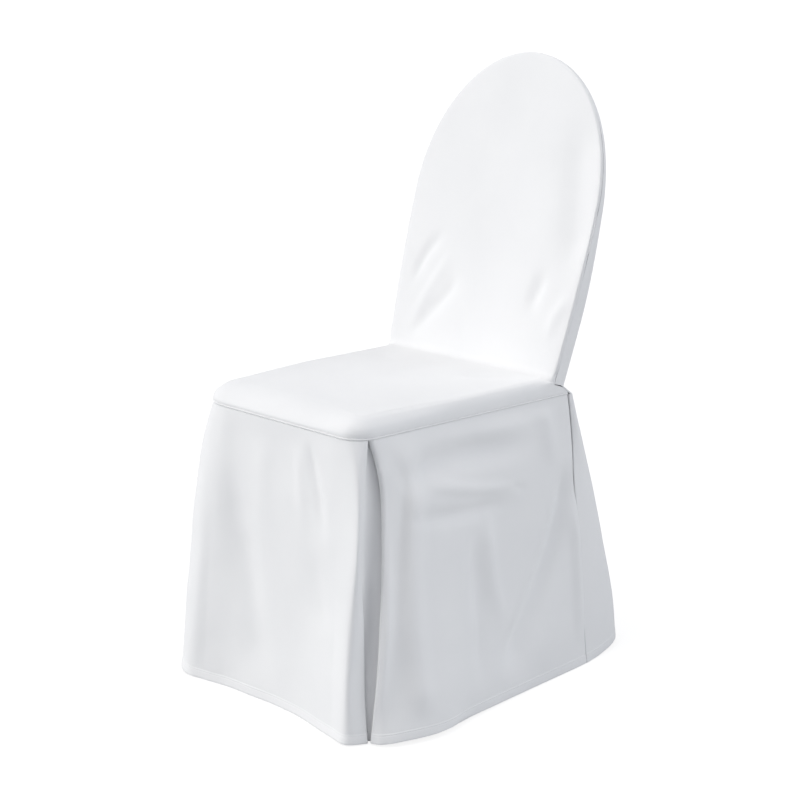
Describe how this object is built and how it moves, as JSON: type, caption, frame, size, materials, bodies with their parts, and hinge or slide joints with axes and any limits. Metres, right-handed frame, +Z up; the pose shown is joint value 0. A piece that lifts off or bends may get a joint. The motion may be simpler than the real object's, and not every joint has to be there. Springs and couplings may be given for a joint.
{
  "type": "fitted chair cover",
  "caption": "White fitted cover for a round-backed banquet chair: smooth seat and arched back, piped seat seam, floor-length skirt with inverted corner pleats.",
  "frame": {"origin": "middle of the cover's box in plan, on the floor at the lowest point of the hem", "axes": "+Z up, the seat's front faces -Y, +X to the right seen from the front"},
  "size_m": [0.508, 0.6336, 0.9356],
  "materials": {
    "seat_cloth": "plain woven white cloth, matt with a faint sheen",
    "outside_back_cloth": "plain woven white cloth, matt with a faint sheen",
    "skirt_front_cloth": "plain woven white cloth, matt with a faint sheen",
    "skirt_right_cloth": "plain woven white cloth, matt with a faint sheen",
    "skirt_left_cloth": "plain woven white cloth, matt with a faint sheen",
    "pleat_front_right_cloth": "plain woven white cloth, matt",
    "pleat_front_left_cloth": "plain woven white cloth, matt",
    "pleat_rear_right_cloth": "plain woven white cloth, matt",
    "pleat_rear_left_cloth": "plain woven white cloth, matt",
    "piping_cloth": "the same cloth rolled over a thin cord"
  },
  "bodies": {
    "root": {"seat_and_inside_back": "seat_cloth", "outside_back": "outside_back_cloth", "skirt_front": "skirt_front_cloth", "skirt_right": "skirt_right_cloth", "skirt_left": "skirt_left_cloth", "pleat_front_right": "pleat_front_right_cloth", "pleat_front_left": "pleat_front_left_cloth", "pleat_rear_right": "pleat_rear_right_cloth", "pleat_rear_left": "pleat_rear_left_cloth", "seat_piping": "piping_cloth"}
  },
  "joints": []
}
